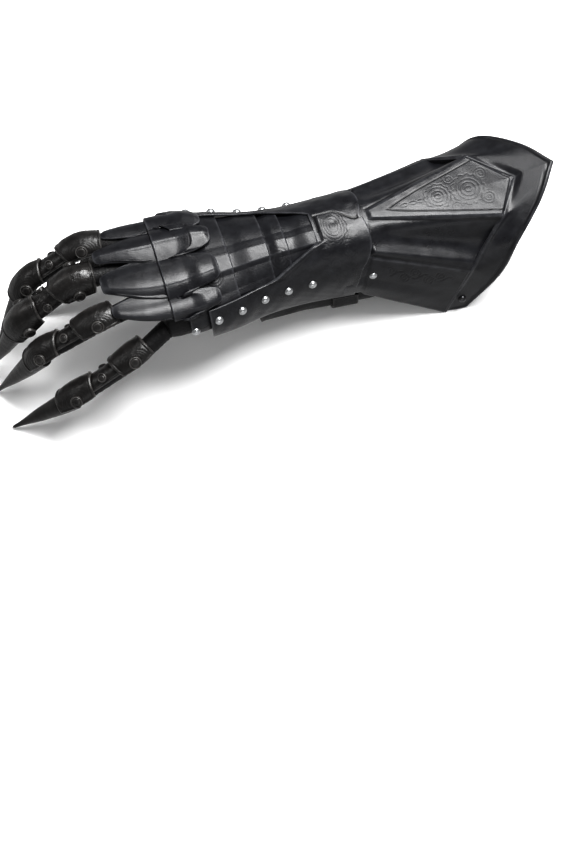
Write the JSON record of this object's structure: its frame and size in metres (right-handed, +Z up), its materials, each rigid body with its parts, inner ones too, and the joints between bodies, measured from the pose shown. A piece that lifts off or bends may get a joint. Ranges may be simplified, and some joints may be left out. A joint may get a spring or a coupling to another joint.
{
  "type": "armoured gauntlet",
  "caption": "Left-hand armoured gauntlet in black leather with a flared cuff, riveted wrist lames, a fluted knuckle comb and long clawed fingers.",
  "frame": {"origin": "under the middle of the gauntlet, on the surface it lies on", "axes": "+X from the claws to the cuff, along the hand; +Y to the thumb side; +Z up from the surface, out of the back of the hand"},
  "size_m": [0.482, 0.1404, 0.1117],
  "materials": {
    "black_leather": "waxed, satin to glossy",
    "tooled_leather": "tooled, satin",
    "soft_leather": "soft, wrinkled",
    "polished_steel": "polished dome",
    "dark_steel": "blackened"
  },
  "bodies": {
    "root": {"cuff_plate": "black_leather", "forearm_plate": "black_leather", "underside_plate": "soft_leather", "closing_strap": "soft_leather", "strap_buckle": "dark_steel", "wrist_lame_1": "black_leather", "wrist_lame_2": "black_leather", "wrist_lame_3": "black_leather", "hand_plate": "black_leather", "knuckle_comb_front": "black_leather", "knuckle_comb_back": "black_leather", "glove_hand": "soft_leather", "index_sleeve": "soft_leather", "index_knuckle_cap": "tooled_leather", "index_middle_plate": "tooled_leather", "index_tip_cap": "tooled_leather", "index_claw": "tooled_leather", "middle_sleeve": "soft_leather", "middle_knuckle_cap": "tooled_leather", "middle_middle_plate": "tooled_leather", "middle_tip_cap": "tooled_leather", "middle_claw": "tooled_leather", "ring_sleeve": "soft_leather", "ring_knuckle_cap": "tooled_leather", "ring_middle_plate": "tooled_leather", "ring_tip_cap": "tooled_leather", "ring_claw": "tooled_leather", "pinky_sleeve": "soft_leather", "pinky_knuckle_cap": "tooled_leather", "pinky_middle_plate": "tooled_leather", "pinky_tip_cap": "tooled_leather", "pinky_claw": "tooled_leather", "thumb_sleeve": "soft_leather", "thumb_plate": "tooled_leather", "thumb_tip_cap": "tooled_leather", "thumb_claw": "tooled_leather", "wrist_rivet_near_1": "polished_steel", "wrist_rivet_near_2": "polished_steel", "wrist_rivet_near_3": "polished_steel", "wrist_rivet_near_4": "polished_steel", "wrist_rivet_near_5": "polished_steel", "hand_rivet_near": "polished_steel", "cuff_rivet_near": "polished_steel", "cuff_snap_near": "dark_steel", "wrist_rivet_far_1": "polished_steel", "wrist_rivet_far_2": "polished_steel", "wrist_rivet_far_3": "polished_steel", "wrist_rivet_far_4": "polished_steel", "wrist_rivet_far_5": "polished_steel", "hand_rivet_far": "polished_steel", "cuff_rivet_far": "polished_steel", "cuff_snap_far": "dark_steel"}
  },
  "joints": []
}
